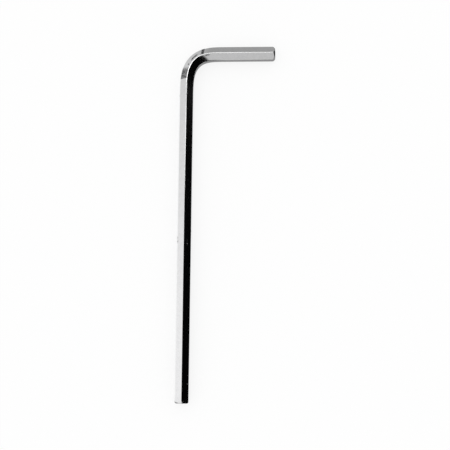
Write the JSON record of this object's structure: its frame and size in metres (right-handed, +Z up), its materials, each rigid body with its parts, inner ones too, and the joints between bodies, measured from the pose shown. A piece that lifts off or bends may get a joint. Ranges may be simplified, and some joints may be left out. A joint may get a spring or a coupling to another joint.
{
  "type": "hex key",
  "caption": "L-shaped key bent from plated hexagonal steel bar, with rounded edges and chamfered tips, for turning screws with hexagon sockets.",
  "frame": {"origin": "on the surface that the key lies on, below the middle of the key's box", "axes": "+Y along the long arm from its tip towards the bend, +X along the short arm from the bend towards its tip, +Z up, square to the plane of the two arms"},
  "size_m": [0.0282, 0.1062, 0.0045],
  "materials": {
    "plated_steel": "bright plated, lightly scratched, with tool marks at the bend"
  },
  "bodies": {
    "root": {"hex_key": "plated_steel"}
  },
  "joints": []
}
